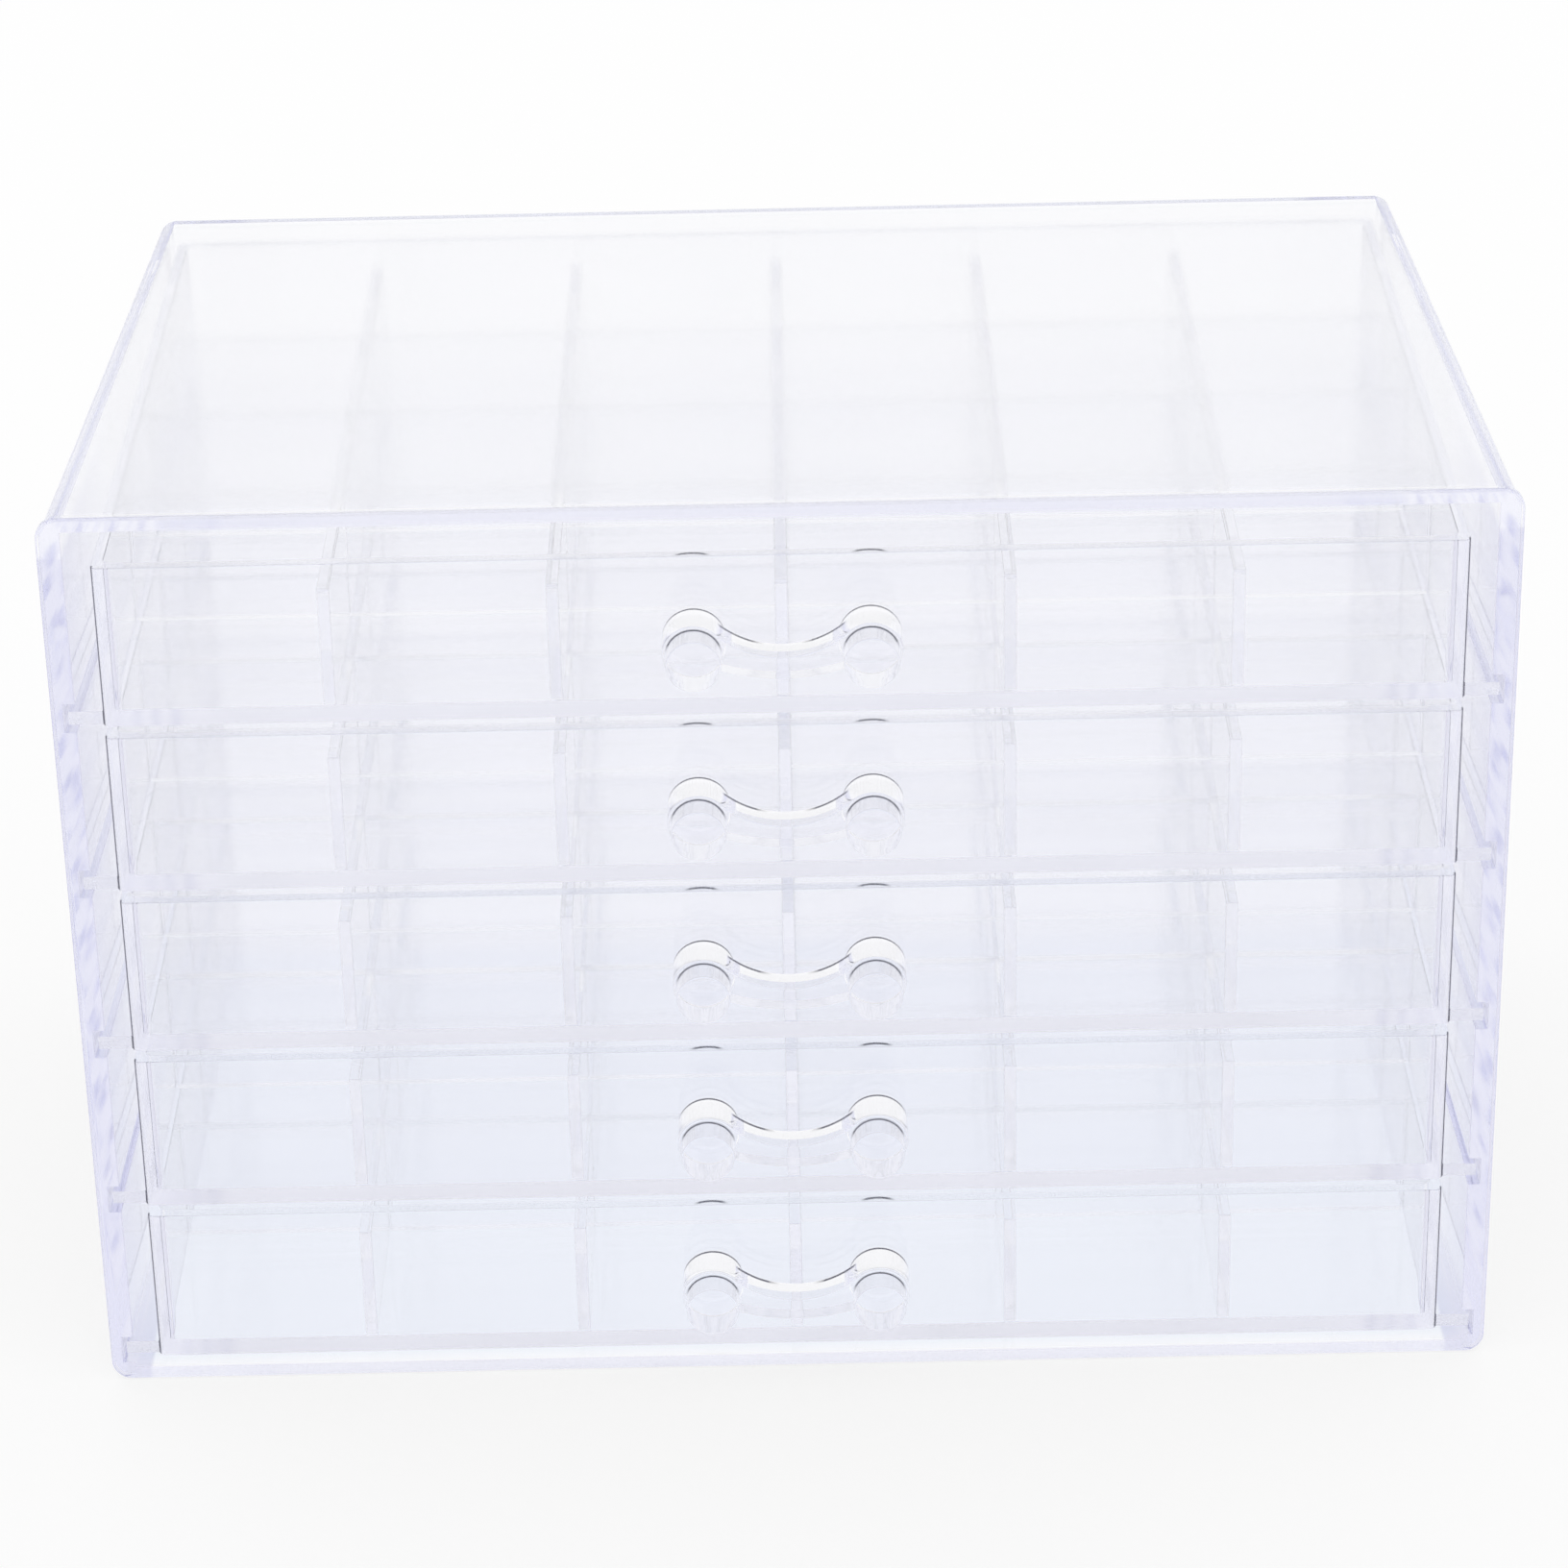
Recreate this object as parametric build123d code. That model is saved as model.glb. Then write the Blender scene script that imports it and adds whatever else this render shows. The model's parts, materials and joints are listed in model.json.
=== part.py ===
from build123d import *
import math
import os

# Clear drawer storage box: one moulded case, open at the front, with five identical drawers.
# Each drawer is a tray on runners, a two-post handle pegged into its front, and a lattice of
# long and cross dividers. Millimetres, +X right, +Y back, +Z up.
# The origin is the centre of the case's base, on the surface that the box stands on.

# Case
case_width = 235.0
case_depth = 148.0
corner_radius = 3.2
side_wall = 1.5
roof_wall = 1.8
base_wall = 2.2
back_wall = 2.0
draft_angle = 1.55
lip_proud = 0.5
lip_depth = 1.6
lip_bevel = 0.4
back_rounding = 1.8

# Runner slots and the rails between them
drawer_count = 5
floor_rail = 1.0
runner_slack = 2.7
rail_thickness_back = 1.35
rail_thickness_front = 2.0

# Drawer trays
tray_height = 27.8
floor_thickness = 2.3
tray_wall = 1.8
panel_thickness = 2.2
panel_recess = 1.75
tray_corner_radius = 1.2
cell_corner_radius = 1.5
runner_setback = 1.0

# Lattice of dividers
column_count = 6
row_count = 4
divider_thickness = 2.0
divider_drop = 5.0

# Handle
post_spacing = 28.2
post_diameter = 8.8
post_length = 4.4
lobe_diameter = 10.1
lobe_depth = 7.3
bar_top_drop = 0.6
bar_bottom_drop = 4.5
bar_bottom_angle = 35.0
finger_gap = 2.2
peg_diameter = 4.0

# Clearances
drawer_gap = 2.2
roof_gap = 3.15
channel_gap = 0.7
runner_side_gap = 0.3
runner_rest_gap = 0.1
tray_back_gap = 1.5
notch_gap = 0.1
divider_end_gap = 0.2
divider_seat_gap = 0.1
lap_gap = 0.15
peg_gap = 0.1
handle_seat_gap = 0.1

# Places that follow from the sizes above
front_y = -case_depth / 2
back_y = case_depth / 2
cavity_back_y = back_y - back_wall
draft_slope = math.tan(math.radians(draft_angle))
body_half_width = case_width / 2 - lip_proud
slot_height = floor_thickness + runner_slack
drawer_pitch = tray_height + drawer_gap


def draft_at(y):
    """How far a drafted wall has leaned in at depth y."""
    return (y - front_y) * draft_slope


def slot_floor(level):
    """Height of the rails that carry a drawer; level 1 is the top drawer."""
    return base_wall + floor_rail + (drawer_count - level) * drawer_pitch


def slot_half_width(y):
    """Half the distance between the two side walls, inside the runner slots."""
    return body_half_width - side_wall - draft_at(y)


top_rim_z = slot_floor(1) + runner_rest_gap + tray_height
body_height = top_rim_z + roof_gap + draft_at(cavity_back_y) + roof_wall
case_height = body_height + lip_proud
channel_half_front = slot_half_width(front_y) - rail_thickness_front
channel_half_back = slot_half_width(cavity_back_y) - rail_thickness_back
tray_width = 2 * (channel_half_back - channel_gap)
tray_front_y = front_y + panel_recess
tray_back_y = cavity_back_y - tray_back_gap
tray_depth = tray_back_y - tray_front_y
tray_middle_y = (tray_front_y + tray_back_y) / 2
cell_front_y = tray_front_y + panel_thickness
cell_back_y = tray_back_y - tray_wall
cell_middle_y = (cell_front_y + cell_back_y) / 2
lattice_width = tray_width - 2 * tray_wall
lattice_depth = cell_back_y - cell_front_y
column_pitch = tray_width / column_count
row_pitch = lattice_depth / row_count
divider_xs = [column_pitch * (i - column_count / 2) for i in range(1, column_count)]
divider_ys = [cell_front_y + row_pitch * i for i in range(1, row_count)]
divider_height = tray_height - floor_thickness - divider_seat_gap - divider_drop
notch_width = divider_thickness + 2 * notch_gap
lap_depth = divider_height / 2 + lap_gap


def upright(y):
    """Plane that faces the front at depth y, with X to the right and Z up."""
    return Plane.XZ.offset(-y)


def drafted_block(front, back, floor_z):
    """Block with a level floor, lofted between two ends given as depth, half width and top."""
    ends = []
    for y, half_width, top in (front, back):
        ends.append(upright(y) * Pos(0, (top + floor_z) / 2) * Rectangle(2 * half_width, top - floor_z))
    return loft(ends, ruled=True)


# Case: a drafted shell with a level base. The drawer channel and the runner slots are cut into
# the solid moulding, which leaves the rails standing on both side walls.
def make_case():
    def body_end(y):
        return y, body_half_width - draft_at(y), body_height - draft_at(y)

    def channel_end(y, half_width):
        return y, half_width, body_height - draft_at(y) - roof_wall

    shell = drafted_block(body_end(front_y), body_end(back_y), 0)
    front_edges, long_edges, back_edges = shell.edges().group_by(Axis.Y)
    shell = fillet(long_edges, corner_radius)
    shell = fillet(shell.edges().group_by(Axis.Y)[-1], back_rounding)
    lip_outline = RectangleRounded(case_width, case_height + lip_proud, corner_radius + lip_proud)
    lip = extrude(upright(front_y) * Pos(0, (case_height - lip_proud) / 2) * lip_outline, -lip_depth)
    lip = chamfer(lip.edges().group_by(Axis.Y)[0], lip_bevel)
    shell += split(lip, Plane.XY, keep=Keep.TOP)
    channel_front = channel_end(front_y, channel_half_front)
    channel_back = channel_end(cavity_back_y, channel_half_back)
    shell -= drafted_block(channel_front, channel_back, base_wall)
    slot_plan = Polygon(
        (-slot_half_width(front_y), front_y),
        (slot_half_width(front_y), front_y),
        (slot_half_width(cavity_back_y), cavity_back_y),
        (-slot_half_width(cavity_back_y), cavity_back_y),
        align=None,
    )
    for level in range(1, drawer_count + 1):
        shell -= extrude(Plane.XY.offset(slot_floor(level)) * slot_plan, slot_height)
    return shell


# Tray: straight walls on a floor that runs out on both sides as the runners. The runners follow
# the draft of the case, so they fill their slots when the drawer is shut.
def make_tray(runner_z):
    floor_top = runner_z + floor_thickness
    handle_z = runner_z + tray_height / 2
    body_plan = RectangleRounded(tray_width, tray_depth, tray_corner_radius)
    tray = extrude(Pos(0, tray_middle_y, runner_z) * body_plan, tray_height)
    runner_front_y = tray_front_y + runner_setback
    runner_half_front = slot_half_width(runner_front_y) - runner_side_gap
    runner_half_back = slot_half_width(tray_back_y) - runner_side_gap
    runner_plan = Polygon(
        (-runner_half_front, runner_front_y),
        (runner_half_front, runner_front_y),
        (runner_half_back, tray_back_y),
        (-runner_half_back, tray_back_y),
        align=None,
    )
    tray += extrude(Plane.XY.offset(runner_z) * runner_plan, floor_thickness)
    cell_plan = RectangleRounded(lattice_width, lattice_depth, cell_corner_radius)
    tray -= extrude(Pos(0, cell_middle_y, floor_top) * cell_plan, tray_height)
    pegs = upright(tray_front_y) * Pos(0, handle_z) * post_pair(peg_diameter / 2 + peg_gap)
    return tray - extrude(pegs, -panel_thickness)


def post_pair(radius):
    """Two circles at the handle's posts."""
    return Sketch() + [Pos(side * post_spacing / 2, 0) * Circle(radius) for side in (-1, 1)]


# Dividers: flat plates that slot into each other at half height. The long ones are notched from
# above and the cross ones from below.
def divider_plate(length):
    return Rectangle(length, divider_height, align=(Align.CENTER, Align.MIN))


def make_long_divider(x, floor_top):
    plate = divider_plate(lattice_depth - 2 * divider_end_gap)
    notch = Rectangle(notch_width, lap_depth, align=(Align.CENTER, Align.MAX))
    plate -= [Pos(y - cell_middle_y, divider_height) * notch for y in divider_ys]
    plane = Plane((x, cell_middle_y, floor_top + divider_seat_gap), x_dir=(0, 1, 0), z_dir=(1, 0, 0))
    return extrude(plane * plate, divider_thickness / 2, both=True)


def make_cross_divider(y, floor_top):
    plate = divider_plate(lattice_width - 2 * divider_end_gap)
    notch = Rectangle(notch_width, lap_depth, align=(Align.CENTER, Align.MIN))
    plate -= [Pos(x, 0) * notch for x in divider_xs]
    plane = Plane((0, y, floor_top + divider_seat_gap), x_dir=(1, 0, 0), z_dir=(0, -1, 0))
    return extrude(plane * plate, divider_thickness / 2, both=True)


# Handle grip, seen from the front and centred between the posts: two lobes joined by the bar. The
# bar's top is one arc tangent to both lobes, and its underside is a flatter arc.
def grip_outline():
    reach = post_spacing / 2
    lobe_radius = lobe_diameter / 2
    end_x = reach + lobe_radius
    top_radius = (reach**2 + bar_top_drop**2 - lobe_radius**2) / (2 * (lobe_radius + bar_top_drop))
    centre_distance = top_radius + lobe_radius
    top_x = reach * top_radius / centre_distance
    top_z = lobe_radius * (top_radius - bar_top_drop) / centre_distance
    bottom_x = reach - lobe_radius * math.cos(math.radians(bar_bottom_angle))
    bottom_z = -lobe_radius * math.sin(math.radians(bar_bottom_angle))
    edges = [
        ThreePointArc((-top_x, top_z), (0, -bar_top_drop), (top_x, top_z)),
        ThreePointArc((top_x, top_z), (end_x, 0), (bottom_x, bottom_z)),
        ThreePointArc((bottom_x, bottom_z), (0, -bar_bottom_drop), (-bottom_x, bottom_z)),
        ThreePointArc((-bottom_x, bottom_z), (-end_x, 0), (-top_x, top_z)),
    ]
    return make_face(Curve() + edges)


# Handle: two round lobes on the drawer front, a post in front of each, and a sagging bar between
# them that stands clear of the front for the fingertips. A peg behind each lobe passes the front.
def make_handle(runner_z):
    seat_y = tray_front_y - handle_seat_gap
    grip_back_y = seat_y - finger_gap
    grip_front_y = seat_y - lobe_depth
    face = Pos(0, runner_z + tray_height / 2)
    grip = extrude(upright(grip_back_y) * face * grip_outline(), lobe_depth - finger_gap)
    lobes = extrude(upright(seat_y) * face * post_pair(lobe_diameter / 2), finger_gap)
    posts = extrude(upright(grip_front_y) * face * post_pair(post_diameter / 2), post_length)
    pegs = extrude(upright(cell_front_y) * face * post_pair(peg_diameter / 2), cell_front_y - seat_y)
    return grip + lobes + posts + pegs


os.makedirs("parts", exist_ok=True)
export_step(make_case(), "parts/outer_case.step")
for level in range(1, drawer_count + 1):
    drawer = f"parts/drawer_{level}"
    runner_z = slot_floor(level) + runner_rest_gap
    floor_top = runner_z + floor_thickness
    export_step(make_tray(runner_z), f"{drawer}_tray.step")
    export_step(make_handle(runner_z), f"{drawer}_handle.step")
    for number, x in enumerate(divider_xs, 1):
        export_step(make_long_divider(x, floor_top), f"{drawer}_long_divider_{number}.step")
    for number, y in enumerate(divider_ys, 1):
        export_step(make_cross_divider(y, floor_top), f"{drawer}_cross_divider_{number}.step")
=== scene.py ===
import json
import math

import bmesh
import bpy
from mathutils import Matrix, Vector


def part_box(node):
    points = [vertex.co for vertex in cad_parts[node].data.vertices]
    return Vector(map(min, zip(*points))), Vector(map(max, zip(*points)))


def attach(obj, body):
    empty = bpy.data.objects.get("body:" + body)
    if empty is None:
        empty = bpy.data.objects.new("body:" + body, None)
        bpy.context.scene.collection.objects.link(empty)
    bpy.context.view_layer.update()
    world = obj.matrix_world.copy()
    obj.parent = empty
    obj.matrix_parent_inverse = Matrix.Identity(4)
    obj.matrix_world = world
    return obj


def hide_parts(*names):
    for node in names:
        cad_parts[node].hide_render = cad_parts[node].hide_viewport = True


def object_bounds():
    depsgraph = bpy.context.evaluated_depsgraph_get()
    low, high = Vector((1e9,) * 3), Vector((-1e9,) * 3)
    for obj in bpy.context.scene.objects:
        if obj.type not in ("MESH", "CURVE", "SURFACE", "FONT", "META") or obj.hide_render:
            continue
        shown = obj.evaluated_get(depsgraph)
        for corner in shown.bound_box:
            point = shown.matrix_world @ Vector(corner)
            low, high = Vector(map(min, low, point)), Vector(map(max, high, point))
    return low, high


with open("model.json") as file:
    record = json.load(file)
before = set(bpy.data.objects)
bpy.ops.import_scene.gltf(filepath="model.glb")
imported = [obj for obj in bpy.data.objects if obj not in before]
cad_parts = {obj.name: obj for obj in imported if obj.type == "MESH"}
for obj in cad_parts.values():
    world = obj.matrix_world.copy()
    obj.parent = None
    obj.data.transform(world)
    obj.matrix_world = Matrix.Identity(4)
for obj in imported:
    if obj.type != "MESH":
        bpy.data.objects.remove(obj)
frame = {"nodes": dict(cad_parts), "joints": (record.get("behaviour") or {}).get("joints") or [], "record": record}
cad_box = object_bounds()
MM = 0.001


# Outer case: one injection moulding of clear polystyrene, open at the front, with rails on both side
# walls. Its corners leave the mould slightly rounded, and the polished surface has faint flow marks.
CASE_EDGE_ROUNDING = 0.1 * MM
ROUNDED_ABOVE = 4.0 * MM
ROUNDED_BEFORE = 70.0 * MM
SHARP_EDGE_ANGLE = math.radians(24)
FLAT_ANGLE = math.radians(0.4)
WELD_DISTANCE = 0.02 * MM
PLASTIC_IOR = 1.52
PLASTIC_TINT = (0.990, 0.991, 1.0, 1.0)
EDGE_TINT = (0.78, 0.79, 1.0, 1.0)
CASE_EDGE_DENSITY = 2.1
CASE_POLISH = (0.018, 0.028)
CASE_RIPPLE = (22.0, 0.02 * MM)
POLISH_SCALE = 45.0
# Painted shade: the side walls' colour turns darker and lilac towards the front, between these depths.
SIDE_WALL_SHADE_TINT = (0.78, 0.78, 0.89, 1.0)
SIDE_SHADE_FRONT = -72.0 * MM
SIDE_SHADE_BACK = -20.0 * MM
SIDE_WALL_INSIDE = 110.5 * MM
SIDE_WALL_TOP = 154.0 * MM
SIDE_WALL_BORDER = 0.5 * MM
ROOF_FRONT = -71.0 * MM
ROOF_BACK = 71.0 * MM
ROOF_BOTTOM = 153.5 * MM
ROOF_BORDER = 2.0 * MM
ROOF_HAZE = 0.1


def moulded_surface_group():
    """Shader group: how polish and flatness of a moulded wall drift over the surface."""
    group = bpy.data.node_groups.new("moulded_surface", "ShaderNodeTree")
    for name in ("Polish", "Drift", "Ripple Scale"):
        group.interface.new_socket(name=name, in_out="INPUT", socket_type="NodeSocketFloat")
    for name in ("Roughness", "Height"):
        group.interface.new_socket(name=name, in_out="OUTPUT", socket_type="NodeSocketFloat")
    nodes = group.nodes
    link = group.links.new
    inlet = nodes.new("NodeGroupInput")
    outlet = nodes.new("NodeGroupOutput")
    place = nodes.new("ShaderNodeTexCoord")
    haze = nodes.new("ShaderNodeTexNoise")
    haze.inputs["Scale"].default_value = POLISH_SCALE
    haze.inputs["Detail"].default_value = 1.0
    swing = nodes.new("ShaderNodeMath")
    swing.operation = "MULTIPLY_ADD"
    ripple = nodes.new("ShaderNodeTexNoise")
    ripple.inputs["Detail"].default_value = 0.0
    link(place.outputs["Object"], haze.inputs["Vector"])
    link(place.outputs["Object"], ripple.inputs["Vector"])
    link(inlet.outputs["Ripple Scale"], ripple.inputs["Scale"])
    link(haze.outputs["Fac"], swing.inputs[0])
    link(inlet.outputs["Drift"], swing.inputs[1])
    link(inlet.outputs["Polish"], swing.inputs[2])
    link(swing.outputs["Value"], outlet.inputs["Roughness"])
    link(ripple.outputs["Fac"], outlet.inputs["Height"])
    return group


moulded_surface = moulded_surface_group()


def clear_plastic(name, edge_density, polish, ripple):
    """Clear moulded plastic: refracting, faintly lilac where it is seen edge-on. polish holds the lowest
    roughness and its drift, and ripple the scale and height of the flow marks."""
    material = bpy.data.materials.new(name)
    material.use_nodes = True
    nodes = material.node_tree.nodes
    link = material.node_tree.links.new
    plastic = nodes["Principled BSDF"]
    plastic.inputs["Base Color"].default_value = PLASTIC_TINT
    plastic.inputs["IOR"].default_value = PLASTIC_IOR
    plastic.inputs["Transmission Weight"].default_value = 1.0
    surface = nodes.new("ShaderNodeGroup")
    surface.node_tree = moulded_surface
    surface.inputs["Polish"].default_value = polish[0]
    surface.inputs["Drift"].default_value = polish[1]
    surface.inputs["Ripple Scale"].default_value = ripple[0]
    bump = nodes.new("ShaderNodeBump")
    bump.inputs["Distance"].default_value = ripple[1]
    link(surface.outputs["Roughness"], plastic.inputs["Roughness"])
    link(surface.outputs["Height"], bump.inputs["Height"])
    link(bump.outputs["Normal"], plastic.inputs["Normal"])
    inside = nodes.new("ShaderNodeVolumeAbsorption")
    inside.inputs["Color"].default_value = EDGE_TINT
    inside.inputs["Density"].default_value = edge_density
    output = nodes["Material Output"]
    path = nodes.new("ShaderNodeLightPath")
    let_light_by = nodes.new("ShaderNodeBsdfTransparent")
    mix = nodes.new("ShaderNodeMixShader")
    link(path.outputs["Is Shadow Ray"], mix.inputs["Fac"])
    link(plastic.outputs["BSDF"], mix.inputs[1])
    link(let_light_by.outputs["BSDF"], mix.inputs[2])
    link(mix.outputs["Shader"], output.inputs["Surface"])
    link(inside.outputs["Volume"], output.inputs["Volume"])
    return material


def rounded_mesh(node, name, material, rounding, is_rounded, is_hidden=None):
    """A plain welded copy of a solid's mesh. is_rounded says of an edge's middle if the edge is rounded,
    and is_hidden of a face's middle if the face is left out, which closes the opening that it leaves."""
    mesh = frame["nodes"][node].data.copy()
    work = bmesh.new()
    work.from_mesh(mesh)
    bmesh.ops.remove_doubles(work, verts=work.verts, dist=WELD_DISTANCE)
    if is_hidden:
        hidden = [face for face in work.faces if is_hidden(face.calc_center_median())]
        bmesh.ops.delete(work, geom=hidden, context="FACES")
        rims = [edge for edge in work.edges if edge.is_boundary]
        bmesh.ops.holes_fill(work, edges=rims, sides=0)
        bmesh.ops.recalc_face_normals(work, faces=work.faces)
    bmesh.ops.dissolve_limit(work, angle_limit=FLAT_ANGLE, verts=work.verts, edges=work.edges)
    weight = work.edges.layers.float.new("bevel_weight_edge")
    for edge in work.edges:
        sharp = edge.calc_face_angle(0.0) > SHARP_EDGE_ANGLE
        rounded = sharp and is_rounded((edge.verts[0].co + edge.verts[1].co) / 2)
        edge[weight] = 1.0 if rounded else 0.0
        edge.smooth = rounded or not sharp
    work.to_mesh(mesh)
    work.free()
    mesh.materials.clear()
    mesh.materials.append(material)
    mesh.shade_smooth()
    rough = bpy.data.objects.new(name, mesh)
    bpy.context.scene.collection.objects.link(rough)
    bevel = rough.modifiers.new("edge rounding", "BEVEL")
    bevel.limit_method = "WEIGHT"
    bevel.width = rounding
    bevel.segments = 2
    bevel.miter_outer = "MITER_ARC"
    bevel.use_clamp_overlap = False
    flatten = rough.modifiers.new("flat faces", "WEIGHTED_NORMAL")
    flatten.weight = 100
    flatten.keep_sharp = True
    shown = bpy.data.meshes.new_from_object(rough.evaluated_get(bpy.context.evaluated_depsgraph_get()))
    bpy.data.objects.remove(rough)
    shown.name = name
    return shown


def put_in(name, mesh, body, *nodes):
    """Puts a finished mesh in the scene, on its body, in place of the solids it stands for."""
    piece = bpy.data.objects.new(name, mesh)
    bpy.context.scene.collection.objects.link(piece)
    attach(piece, body)
    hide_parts(*nodes)


def joined(nodes, link, operation, first, second):
    """Both masks as one, or the second alone while there is no first."""
    if first is None:
        return second
    node = nodes.new("ShaderNodeMath")
    node.operation = operation
    link(first, node.inputs[0])
    link(second, node.inputs[1])
    return node.outputs["Value"]


def place_mask(material, *limits):
    """1 where a place is past all its limits. A limit says where the mask starts and where it is full."""
    nodes = material.node_tree.nodes
    link = material.node_tree.links.new
    place = nodes.new("ShaderNodeTexCoord")
    axes = nodes.new("ShaderNodeSeparateXYZ")
    link(place.outputs["Object"], axes.inputs["Vector"])
    out = nodes.new("ShaderNodeMath")
    out.operation = "ABSOLUTE"
    link(axes.outputs["X"], out.inputs[0])
    values = {"Out": out.outputs["Value"], "Y": axes.outputs["Y"], "Z": axes.outputs["Z"]}
    mask = None
    for axis, none, full in limits:
        fade = nodes.new("ShaderNodeMapRange")
        fade.inputs["From Min"].default_value = none
        fade.inputs["From Max"].default_value = full
        link(values[axis], fade.inputs["Value"])
        mask = joined(nodes, link, "MULTIPLY", mask, fade.outputs["Result"])
    return mask


def mixed_colour(nodes, link, mask, plain, tinted):
    """A colour that goes from plain to tinted with the mask. Sockets 6, 7 and 2 are the node's colours."""
    mix = nodes.new("ShaderNodeMix")
    mix.data_type = "RGBA"
    mix.inputs[6].default_value = plain
    mix.inputs[7].default_value = tinted
    link(mask, mix.inputs[0])
    return mix.outputs[2]


def paint_side_wall_shade(material):
    """Paints shade: the front of the side walls turns darker and more lilac, in place of the shade in the gaps
    beside the drawers.
    """
    nodes = material.node_tree.nodes
    link = material.node_tree.links.new
    mask = place_mask(
        material,
        ("Out", SIDE_WALL_INSIDE, SIDE_WALL_INSIDE + SIDE_WALL_BORDER),
        ("Y", SIDE_SHADE_BACK, SIDE_SHADE_FRONT),
        ("Z", SIDE_WALL_TOP, SIDE_WALL_TOP - SIDE_WALL_BORDER),
    )
    colour = mixed_colour(nodes, link, mask, PLASTIC_TINT, SIDE_WALL_SHADE_TINT)
    link(colour, nodes["Principled BSDF"].inputs["Base Color"])


def haze_roof(material):
    """The wide roof is a little matt outside, so that what lies under it shows soft."""
    nodes = material.node_tree.nodes
    link = material.node_tree.links.new
    mask = place_mask(
        material,
        ("Out", SIDE_WALL_INSIDE + ROOF_BORDER, SIDE_WALL_INSIDE),
        ("Y", ROOF_FRONT, ROOF_FRONT + ROOF_BORDER),
        ("Y", ROOF_BACK, ROOF_BACK - ROOF_BORDER),
        ("Z", ROOF_BOTTOM - SIDE_WALL_BORDER, ROOF_BOTTOM),
    )
    side = nodes.new("ShaderNodeNewGeometry")
    outside = nodes.new("ShaderNodeMath")
    outside.operation = "SUBTRACT"
    outside.inputs[0].default_value = 1.0
    link(side.outputs["Backfacing"], outside.inputs[1])
    roughness = nodes["Principled BSDF"].inputs["Roughness"]
    more = nodes.new("ShaderNodeMath")
    more.operation = "MULTIPLY_ADD"
    more.inputs[1].default_value = ROOF_HAZE
    link(joined(nodes, link, "MULTIPLY", mask, outside.outputs["Value"]), more.inputs[0])
    link(roughness.links[0].from_socket, more.inputs[2])
    link(more.outputs["Value"], roughness)


case_plastic = clear_plastic("case_plastic", CASE_EDGE_DENSITY, CASE_POLISH, CASE_RIPPLE)
# Painted shade on the front of the side walls.
paint_side_wall_shade(case_plastic)
haze_roof(case_plastic)
case_mesh = rounded_mesh(
    "outer_case", "clear_case", case_plastic, CASE_EDGE_ROUNDING,
    lambda middle: middle.z > ROUNDED_ABOVE and middle.y < ROUNDED_BEFORE,
)
put_in("clear_case", case_mesh, "case", "outer_case")


# Drawer trays: five like mouldings of the same plastic. Each has a floor that runs out on both sides as
# the runners, and four walls. The peg holes of the front panel don't show in the photo and are closed.
TRAY_EDGE_ROUNDING = 0.15 * MM
TRAY_EDGE_DENSITY = 2.2
TRAY_POLISH = (0.03, 0.05)
TRAY_RIPPLE = (26.0, 0.02 * MM)
RIM_BAND = 0.1 * MM
# Painted shade: a dark line down the outer ends of each front panel and dark arcs on its top over the peg holes,
# in place of the dark that refraction shows at these edges.
PANEL_PAINTED_SHADE = (0.02, 0.02, 0.03, 1.0)
PANEL_LINE_WIDTH = 0.36 * MM
PANEL_LINE_DEPTH = 1.3 * MM
PEG_HOLE_REACH = 2.3 * MM
PEG_HOLE_DEPTH = 3.0 * MM
LENS_SHADE_REACH = 3.0 * MM
LENS_SHADE_FRONT = 0.8 * MM
LENS_SHADE_BACK = 1.8 * MM
LENS_SHADE_BEND = 100.0
FAR = 1.0
POST_REACH = 14.1 * MM
drawers = [joint["child"] for joint in frame["joints"]]
handle_low, handle_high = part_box(f"{drawers[-1]}_handle")
DRAWER_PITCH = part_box(f"{drawers[-2]}_handle")[0][2] - handle_low[2]
LOWEST_HANDLE = (handle_low[2] + handle_high[2]) / 2


def handle_place_group():
    """Shader group: where a point is, as seen from the middle of the nearest handle and its posts."""
    group = bpy.data.node_groups.new("handle_place", "ShaderNodeTree")
    for name in ("Out", "Aside", "Depth", "Arc", "Rise", "Radius"):
        group.interface.new_socket(name=name, in_out="OUTPUT", socket_type="NodeSocketFloat")
    nodes = group.nodes
    link = group.links.new
    outlet = nodes.new("NodeGroupOutput")
    place = nodes.new("ShaderNodeTexCoord")
    axes = nodes.new("ShaderNodeSeparateXYZ")
    link(place.outputs["Object"], axes.inputs["Vector"])

    def maths(operation, first, *others):
        node = nodes.new("ShaderNodeMath")
        node.operation = operation
        link(first, node.inputs[0])
        for number, other in enumerate(others, 1):
            if isinstance(other, float):
                node.inputs[number].default_value = other
            else:
                link(other, node.inputs[number])
        return node.outputs["Value"]

    out = maths("ABSOLUTE", axes.outputs["X"])
    above_lowest = maths("SUBTRACT", axes.outputs["Z"], LOWEST_HANDLE)
    rise = maths("WRAP", above_lowest, DRAWER_PITCH / 2, -DRAWER_PITCH / 2)
    aside = maths("SUBTRACT", out, POST_REACH)
    aside_square = maths("MULTIPLY", aside, aside)
    square = maths("ADD", aside_square, maths("MULTIPLY", rise, rise))
    sag = maths("MULTIPLY", aside_square, LENS_SHADE_BEND)
    link(out, outlet.inputs["Out"])
    link(maths("ABSOLUTE", aside), outlet.inputs["Aside"])
    link(axes.outputs["Y"], outlet.inputs["Depth"])
    link(maths("ADD", axes.outputs["Y"], sag), outlet.inputs["Arc"])
    link(rise, outlet.inputs["Rise"])
    link(maths("SQRT", square), outlet.inputs["Radius"])
    return group


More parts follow.
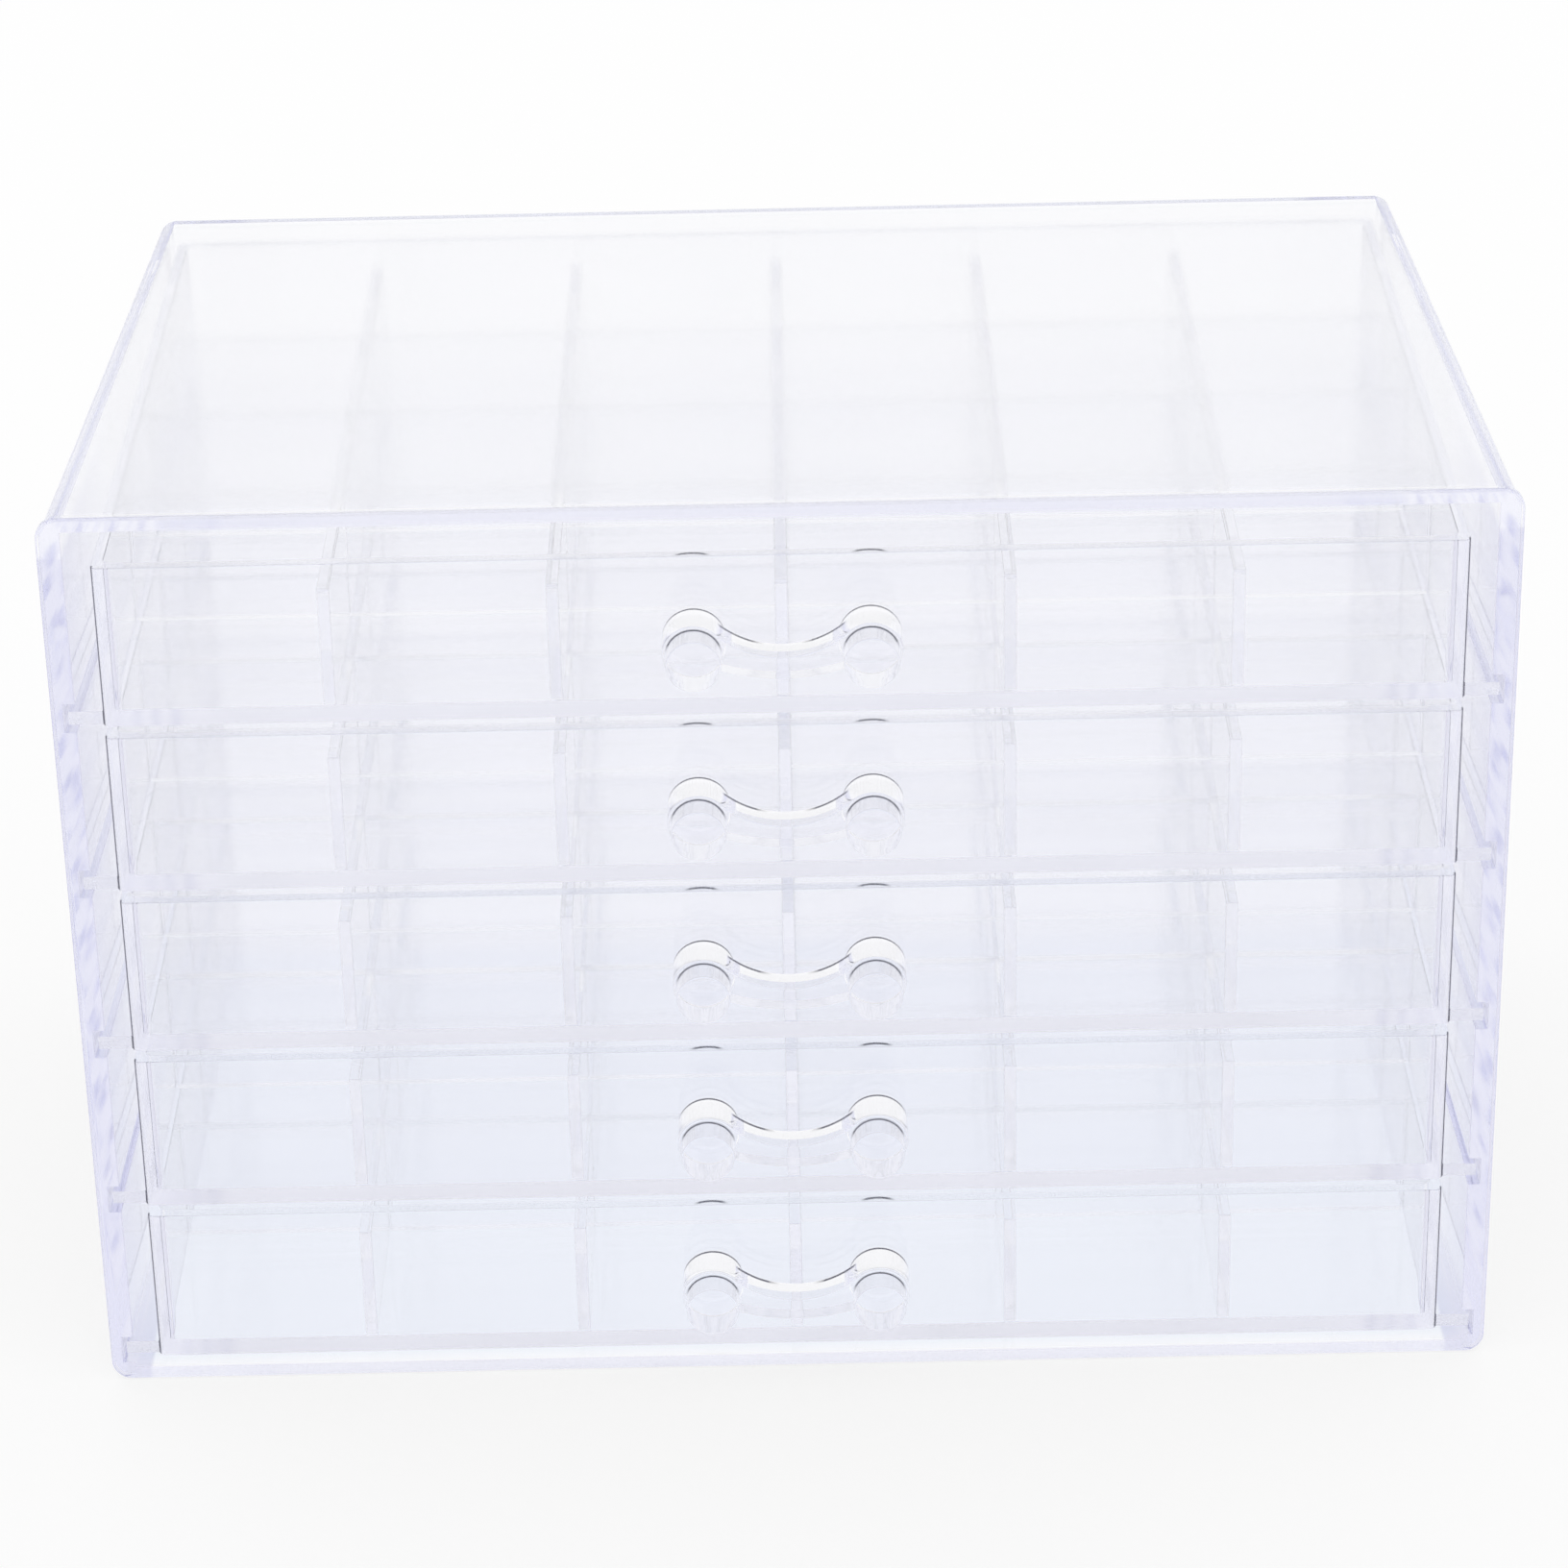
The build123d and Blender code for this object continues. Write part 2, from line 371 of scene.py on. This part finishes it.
def band_group():
    """Shader group: 1 where a value lies between two limits, with soft borders."""
    group = bpy.data.node_groups.new("band", "ShaderNodeTree")
    for name in ("Value", "Low", "High", "Softness"):
        group.interface.new_socket(name=name, in_out="INPUT", socket_type="NodeSocketFloat")
    group.interface.new_socket(name="Mask", in_out="OUTPUT", socket_type="NodeSocketFloat")
    nodes = group.nodes
    link = group.links.new
    inlet = nodes.new("NodeGroupInput")
    outlet = nodes.new("NodeGroupOutput")
    both = nodes.new("ShaderNodeMath")
    both.operation = "MULTIPLY"
    for number, (limit, sign) in enumerate((("Low", 1.0), ("High", -1.0))):
        past = nodes.new("ShaderNodeMath")
        past.operation = "SUBTRACT"
        link(inlet.outputs["Value"], past.inputs[0])
        link(inlet.outputs[limit], past.inputs[1])
        inwards = nodes.new("ShaderNodeMath")
        inwards.operation = "MULTIPLY"
        inwards.inputs[1].default_value = sign
        link(past.outputs["Value"], inwards.inputs[0])
        fade = nodes.new("ShaderNodeMapRange")
        fade.inputs["From Min"].default_value = 0.0
        link(inwards.outputs["Value"], fade.inputs["Value"])
        link(inlet.outputs["Softness"], fade.inputs["From Max"])
        link(fade.outputs["Result"], both.inputs[number])
    link(both.outputs["Value"], outlet.inputs["Mask"])
    return group


handle_place = handle_place_group()
band = band_group()


def painted_shade_lines(material, tint, *lines):
    """Paints shade into a plastic's colour along edges that send the light aside: dark lines in place of the
    dark that refraction shows there. A line is a set of bands, each with an output of handle_place, its low and
    high limit and how soft its borders are."""
    nodes = material.node_tree.nodes
    link = material.node_tree.links.new
    place = nodes.new("ShaderNodeGroup")
    place.node_tree = handle_place
    painted_shade_mask = None
    for line in lines:
        product = None
        for output, low, high, softness in line:
            limits = nodes.new("ShaderNodeGroup")
            limits.node_tree = band
            limits.inputs["Low"].default_value = low
            limits.inputs["High"].default_value = high
            limits.inputs["Softness"].default_value = softness
            link(place.outputs[output], limits.inputs["Value"])
            product = joined(nodes, link, "MULTIPLY", product, limits.outputs["Mask"])
        painted_shade_mask = joined(nodes, link, "MAXIMUM", painted_shade_mask, product)
    colour = mixed_colour(nodes, link, painted_shade_mask, PLASTIC_TINT, tint)
    link(colour, nodes["Principled BSDF"].inputs["Base Color"])


tray_low, tray_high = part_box(f"{drawers[0]}_tray")
tray_front = tray_low[1]
rim_rise = (tray_high[2] - tray_low[2]) / 2
panel_half_width = max(
    abs(corner.co.x) for corner in frame["nodes"][f"{drawers[0]}_tray"].data.vertices
    if corner.co.z > tray_high[2] - RIM_BAND
)
tray_plastic = clear_plastic("tray_plastic", TRAY_EDGE_DENSITY, TRAY_POLISH, TRAY_RIPPLE)
# Painted shade on the trays: the dark lines at the panel's ends and the dark arcs over the peg holes.
painted_shade_lines(
    tray_plastic,
    PANEL_PAINTED_SHADE,
    [
        ("Out", panel_half_width - PANEL_LINE_WIDTH, panel_half_width + 0.1 * MM, 0.05 * MM),
        ("Depth", -FAR, tray_front + PANEL_LINE_DEPTH, 0.1 * MM),
    ],
    [
        ("Aside", -FAR, LENS_SHADE_REACH, 1.0 * MM),
        ("Rise", rim_rise - RIM_BAND, FAR, 0.05 * MM),
        ("Arc", tray_front + LENS_SHADE_FRONT, tray_front + LENS_SHADE_BACK, 0.3 * MM),
    ],
)


def in_peg_hole(middle, rim_height):
    """If a face's middle lies in one of the two peg holes of a front panel."""
    aside = abs(middle.x) - POST_REACH
    below = rim_height - rim_rise - middle.z
    return math.hypot(aside, below) < PEG_HOLE_REACH and middle.y < tray_front + PEG_HOLE_DEPTH


for drawer in drawers:
    rim_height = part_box(f"{drawer}_tray")[1][2] - RIM_BAND
    name = f"{drawer}_clear_tray"
    tray_mesh = rounded_mesh(
        f"{drawer}_tray", name, tray_plastic, TRAY_EDGE_ROUNDING,
        lambda middle: middle.z > rim_height,
        lambda middle: in_peg_hole(middle, rim_height),
    )
    put_in(name, tray_mesh, drawer, f"{drawer}_tray")


# Dividers: thin moulded plates that slot into each other at half height and stand loose in the tray.
# Each drawer's lattice repeats one long plate across the drawer and one cross plate along it.
DIVIDER_EDGE_ROUNDING = 0.12 * MM
DIVIDER_EDGE_DENSITY = 0.8
DIVIDER_POLISH = (0.03, 0.05)
DIVIDER_RIPPLE = (30.0, 0.02 * MM)


def lattice_tree():
    """Geometry Nodes tree: rows of one long plate and one cross plate."""
    tree = bpy.data.node_groups.new("divider_lattice", "GeometryNodeTree")
    tree.interface.new_socket(name="Plates", in_out="OUTPUT", socket_type="NodeSocketGeometry")
    for name, kind in (
        ("Long Plate", "NodeSocketObject"),
        ("Long Count", "NodeSocketInt"),
        ("Long Pitch", "NodeSocketVector"),
        ("Cross Plate", "NodeSocketObject"),
        ("Cross Count", "NodeSocketInt"),
        ("Cross Pitch", "NodeSocketVector"),
        ("Plastic", "NodeSocketMaterial"),
    ):
        tree.interface.new_socket(name=name, in_out="INPUT", socket_type=kind)
    nodes = tree.nodes
    link = tree.links.new
    inlet = nodes.new("NodeGroupInput")
    outlet = nodes.new("NodeGroupOutput")
    together = nodes.new("GeometryNodeJoinGeometry")
    for family in ("Long", "Cross"):
        row = nodes.new("GeometryNodeMeshLine")
        plate = nodes.new("GeometryNodeObjectInfo")
        copies = nodes.new("GeometryNodeInstanceOnPoints")
        link(inlet.outputs[f"{family} Count"], row.inputs["Count"])
        link(inlet.outputs[f"{family} Pitch"], row.inputs["Offset"])
        link(inlet.outputs[f"{family} Plate"], plate.inputs["Object"])
        link(row.outputs["Mesh"], copies.inputs["Points"])
        link(plate.outputs["Geometry"], copies.inputs["Instance"])
        link(copies.outputs["Instances"], together.inputs["Geometry"])
    real = nodes.new("GeometryNodeRealizeInstances")
    finish = nodes.new("GeometryNodeSetMaterial")
    link(together.outputs["Geometry"], real.inputs["Geometry"])
    link(real.outputs["Geometry"], finish.inputs["Geometry"])
    link(inlet.outputs["Plastic"], finish.inputs["Material"])
    link(finish.outputs["Geometry"], outlet.inputs["Plates"])
    return tree


def lattice_mesh(drawer, families):
    """The drawer's lattice as one plain mesh; families hold the nodes of the long and cross plates."""
    values = {"Plastic": divider_plastic}
    plates = []
    for family, members in families.items():
        mesh = rounded_mesh(
            members[0], f"{family}_plate", divider_plastic, DIVIDER_EDGE_ROUNDING, lambda middle: True
        )
        plate = bpy.data.objects.new(f"{family}_plate", mesh)
        bpy.context.scene.collection.objects.link(plate)
        plates.append(plate)
        values[f"{family} Plate"] = plate
        values[f"{family} Count"] = len(members)
        first, second = Vector(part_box(members[0])[0]), Vector(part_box(members[1])[0])
        values[f"{family} Pitch"] = second - first
    maker = bpy.data.objects.new("lattice_maker", bpy.data.meshes.new("lattice_maker"))
    bpy.context.scene.collection.objects.link(maker)
    rows = maker.modifiers.new("lattice", "NODES")
    rows.node_group = lattice
    for item in lattice.interface.items_tree:
        if item.in_out == "INPUT":
            rows[item.identifier] = values[item.name]
    mesh = bpy.data.meshes.new_from_object(maker.evaluated_get(bpy.context.evaluated_depsgraph_get()))
    mesh.name = f"{drawer}_clear_lattice"
    maker.modifiers.remove(rows)
    for spare in [maker] + plates:
        bpy.data.objects.remove(spare)
    return mesh


lattice = lattice_tree()
divider_plastic = clear_plastic("divider_plastic", DIVIDER_EDGE_DENSITY, DIVIDER_POLISH, DIVIDER_RIPPLE)
for drawer in drawers:
    members = sorted(frame["record"]["behaviour"]["bodies"][drawer])
    long_plates = [node for node in members if "long_divider" in node]
    cross_plates = [node for node in members if "cross_divider" in node]
    mesh = lattice_mesh(drawer, {"Long": long_plates, "Cross": cross_plates})
    put_in(f"{drawer}_clear_lattice", mesh, drawer, *long_plates, *cross_plates)


# Handles: one small clear moulding on each drawer, two posts on round lobes with a sagging bar between
# them. The pegs that fix it in the front panel don't show in the photo and are left out.
HANDLE_EDGE_ROUNDING = 0.22 * MM
HANDLE_EDGE_DENSITY = 3.0
HANDLE_POLISH = (0.0, 0.004)
HANDLE_RIPPLE = (60.0, 0.01 * MM)
# Painted shade: the colour of the dark arcs painted on the handles.
HANDLE_PAINTED_SHADE = (0.015, 0.015, 0.025, 1.0)
POST_LENGTH = 4.4 * MM
POST_RADIUS = 4.4 * MM
FINGER_GAP = 2.2 * MM
HANDLE_SEAT_GAP = 0.1 * MM
SAME_PLANE = 0.05 * MM

lobe_back = tray_front - HANDLE_SEAT_GAP
bar_back = lobe_back - FINGER_GAP
lobe_front = handle_low[1] + POST_LENGTH
handle_plastic = clear_plastic("handle_plastic", HANDLE_EDGE_DENSITY, HANDLE_POLISH, HANDLE_RIPPLE)
# Painted shade on the handles: dark arcs along the top of each lobe's back, round the top of each post's front
# face and along the bar's back edge, where refraction shows dark.
painted_shade_lines(
    handle_plastic,
    HANDLE_PAINTED_SHADE,
    [
        ("Depth", lobe_back - 0.9 * MM, lobe_back - 0.25 * MM, 0.12 * MM),
        ("Rise", 0.0, FAR, 1.5 * MM),
    ],
    [
        ("Depth", lobe_front - 0.3 * MM, lobe_front + 0.05 * MM, 0.1 * MM),
        ("Radius", 0.0, POST_RADIUS + 0.3 * MM, 0.1 * MM),
        ("Rise", 0.5 * MM, FAR, 1.5 * MM),
    ],
    [
        ("Depth", bar_back - 0.8 * MM, bar_back - 0.05 * MM, 0.12 * MM),
        ("Out", 2.8 * MM, FAR, 2.0 * MM),
        ("Out", -FAR, 10.3 * MM, 0.5 * MM),
        ("Rise", -2.0 * MM, FAR, 1.0 * MM),
    ],
)
for drawer in drawers:
    name = f"{drawer}_clear_handle"
    handle_mesh = rounded_mesh(
        f"{drawer}_handle", name, handle_plastic, HANDLE_EDGE_ROUNDING,
        lambda middle: abs(middle.y - bar_back) > SAME_PLANE,
        lambda middle: middle.y > lobe_back + SAME_PLANE,
    )
    put_in(name, handle_mesh, drawer, f"{drawer}_handle")


# Floor: a wide sheet of white paper that the box stands on. Seen directly it keeps a soft shadow, and
# through the clear plastic it looks white, with a painted bluish shadow under the box.
FLOOR_HALF_WIDTH = 6.0
FLOOR_DROP = 0.3 * MM
FLOOR_WHITE = (0.97, 0.97, 0.97, 1.0)
FLOOR_GLOW = (1.0, 1.0, 1.0, 1.0)
FLOOR_GLOW_SEEN = 0.8
# Painted shadow: the tint of the floor's glow inside the box's footprint, and how wide it fades at its border.
UNDER_BOX_PAINTED_SHADOW = (0.87, 0.905, 0.96, 1.0)
PAINTED_SHADOW_BORDER = 7.0 * MM


def paper_white():
    """Matt white paper that looks lit from within, with a painted bluish shadow under the box."""
    material = bpy.data.materials.new("paper_white")
    material.use_nodes = True
    nodes = material.node_tree.nodes
    link = material.node_tree.links.new
    paper = nodes["Principled BSDF"]
    paper.inputs["Base Color"].default_value = FLOOR_WHITE
    paper.inputs["Roughness"].default_value = 0.7
    paper.inputs["Specular IOR Level"].default_value = 0.0
    glow = nodes.new("ShaderNodeEmission")
    place = nodes.new("ShaderNodeTexCoord")
    axes = nodes.new("ShaderNodeSeparateXYZ")
    link(place.outputs["Object"], axes.inputs["Vector"])
    # Painted shadow: inside the box's footprint the glow turns darker and bluer, where the box shades the paper.
    under = nodes.new("ShaderNodeMath")
    under.operation = "MULTIPLY"
    for number, axis in enumerate("XY"):
        away = nodes.new("ShaderNodeMath")
        away.operation = "ABSOLUTE"
        fade = nodes.new("ShaderNodeMapRange")
        fade.interpolation_type = "SMOOTHSTEP"
        fade.inputs["From Min"].default_value = cad_box[1][number]
        fade.inputs["From Max"].default_value = cad_box[1][number] - PAINTED_SHADOW_BORDER
        link(axes.outputs[axis], away.inputs[0])
        link(away.outputs["Value"], fade.inputs["Value"])
        link(fade.outputs["Result"], under.inputs[number])
    colour = mixed_colour(nodes, link, under.outputs["Value"], FLOOR_GLOW, UNDER_BOX_PAINTED_SHADOW)
    link(colour, glow.inputs["Color"])
    path = nodes.new("ShaderNodeLightPath")
    through = nodes.new("ShaderNodeMath")
    through.operation = "MAXIMUM"
    seen = nodes.new("ShaderNodeMath")
    seen.operation = "MULTIPLY_ADD"
    seen.use_clamp = True
    seen.inputs[1].default_value = FLOOR_GLOW_SEEN
    mix = nodes.new("ShaderNodeMixShader")
    link(path.outputs["Is Glossy Ray"], through.inputs[0])
    link(path.outputs["Is Transmission Ray"], through.inputs[1])
    link(path.outputs["Is Camera Ray"], seen.inputs[0])
    link(through.outputs["Value"], seen.inputs[2])
    link(seen.outputs["Value"], mix.inputs["Fac"])
    link(paper.outputs["BSDF"], mix.inputs[1])
    link(glow.outputs["Emission"], mix.inputs[2])
    link(mix.outputs["Shader"], nodes["Material Output"].inputs["Surface"])
    material.cycles.emission_sampling = "NONE"
    return material


sheet_corners = []
for x, y in ((-1, -1), (1, -1), (1, 1), (-1, 1)):
    sheet_corners.append((x * FLOOR_HALF_WIDTH, y * FLOOR_HALF_WIDTH, -FLOOR_DROP))
floor_mesh = bpy.data.meshes.new("white_floor")
floor_mesh.from_pydata(sheet_corners, [], [(0, 1, 2, 3)])
floor_mesh.materials.append(paper_white())
floor = bpy.data.objects.new("white_floor", floor_mesh)
bpy.context.scene.collection.objects.link(floor)


# Studio: soft white light from all round. The dark of the room is left only round the camera, where no
# white screen stands, and it shows in the first walls that the light passes.
ROOM_DARK = 0.45
CAMERA_SIDE = Vector((0.0, -0.83, 0.56)).normalized()
DARK_BORDER = (0.90, 0.975)
WALLS_SHOWING_DARK = (2, 4)
LIGHT_BOUNCES = 256


def studio_world():
    """White all round, with the dark behind the camera seen only in reflections and through few walls."""
    world = bpy.data.worlds.new("white_studio")
    world.use_nodes = True
    nodes = world.node_tree.nodes
    link = world.node_tree.links.new
    view = nodes.new("ShaderNodeTexCoord")
    path = nodes.new("ShaderNodeLightPath")
    shine = nodes.new("ShaderNodeMath")
    shine.operation = "MAXIMUM"
    link(path.outputs["Is Glossy Ray"], shine.inputs[0])
    link(path.outputs["Is Transmission Ray"], shine.inputs[1])
    towards = nodes.new("ShaderNodeVectorMath")
    towards.operation = "DOT_PRODUCT"
    towards.inputs[1].default_value = CAMERA_SIDE
    link(view.outputs["Generated"], towards.inputs[0])
    level = nodes.new("ShaderNodeMapRange")
    level.interpolation_type = "SMOOTHSTEP"
    level.inputs["From Min"].default_value = DARK_BORDER[0]
    level.inputs["From Max"].default_value = DARK_BORDER[1]
    level.inputs["To Min"].default_value = 1.0
    level.inputs["To Max"].default_value = ROOM_DARK
    link(towards.outputs["Value"], level.inputs["Value"])
    few_walls = nodes.new("ShaderNodeMapRange")
    few_walls.inputs["From Min"].default_value = WALLS_SHOWING_DARK[0]
    few_walls.inputs["From Max"].default_value = WALLS_SHOWING_DARK[1]
    few_walls.inputs["To Min"].default_value = 1.0
    few_walls.inputs["To Max"].default_value = 0.0
    link(path.outputs["Transmission Depth"], few_walls.inputs["Value"])
    shows_dark = nodes.new("ShaderNodeMath")
    shows_dark.operation = "MULTIPLY"
    link(shine.outputs["Value"], shows_dark.inputs[0])
    link(few_walls.outputs["Result"], shows_dark.inputs[1])
    mix = nodes.new("ShaderNodeMix")
    mix.data_type = "FLOAT"
    mix.inputs["A"].default_value = 1.0
    link(shows_dark.outputs["Value"], mix.inputs["Factor"])
    link(level.outputs["Result"], mix.inputs["B"])
    link(mix.outputs["Result"], nodes["Background"].inputs["Strength"])
    nodes["Background"].inputs["Color"].default_value = (1.0, 1.0, 1.0, 1.0)
    world.cycles.sampling_method = "NONE"
    return world


scene = bpy.context.scene
scene.world = studio_world()
scene.view_settings.view_transform = "Standard"
scene.cycles.max_bounces = LIGHT_BOUNCES
scene.cycles.transmission_bounces = LIGHT_BOUNCES
scene.cycles.glossy_bounces = LIGHT_BOUNCES
scene.cycles.transparent_max_bounces = LIGHT_BOUNCES


# Camera: the photograph's own place and lens, found from the case's corners. Pixels are of the
# 1632 x 1632 picture.
PICTURE_WIDTH = 1632
FOCAL_PIXELS = 5231.9
SENSOR_WIDTH = 36.0
CAMERA_PLACE = Vector((1.55, -799.69, 475.84)) * MM
CAMERA_AZIMUTH = math.radians(-0.14)
CAMERA_DOWN = math.radians(26.67)
CAMERA_ROLL = math.radians(-1.26)

lens = bpy.data.cameras.new("photo_camera")
lens.sensor_width = SENSOR_WIDTH
lens.lens = SENSOR_WIDTH * FOCAL_PIXELS / PICTURE_WIDTH
camera = bpy.data.objects.new("photo_camera", lens)
scene.collection.objects.link(camera)
look = Matrix.Rotation(-CAMERA_AZIMUTH, 4, "Z") @ Matrix.Rotation(math.pi / 2 - CAMERA_DOWN, 4, "X")
camera.matrix_world = Matrix.Translation(CAMERA_PLACE) @ look @ Matrix.Rotation(CAMERA_ROLL, 4, "Z")
scene.camera = camera
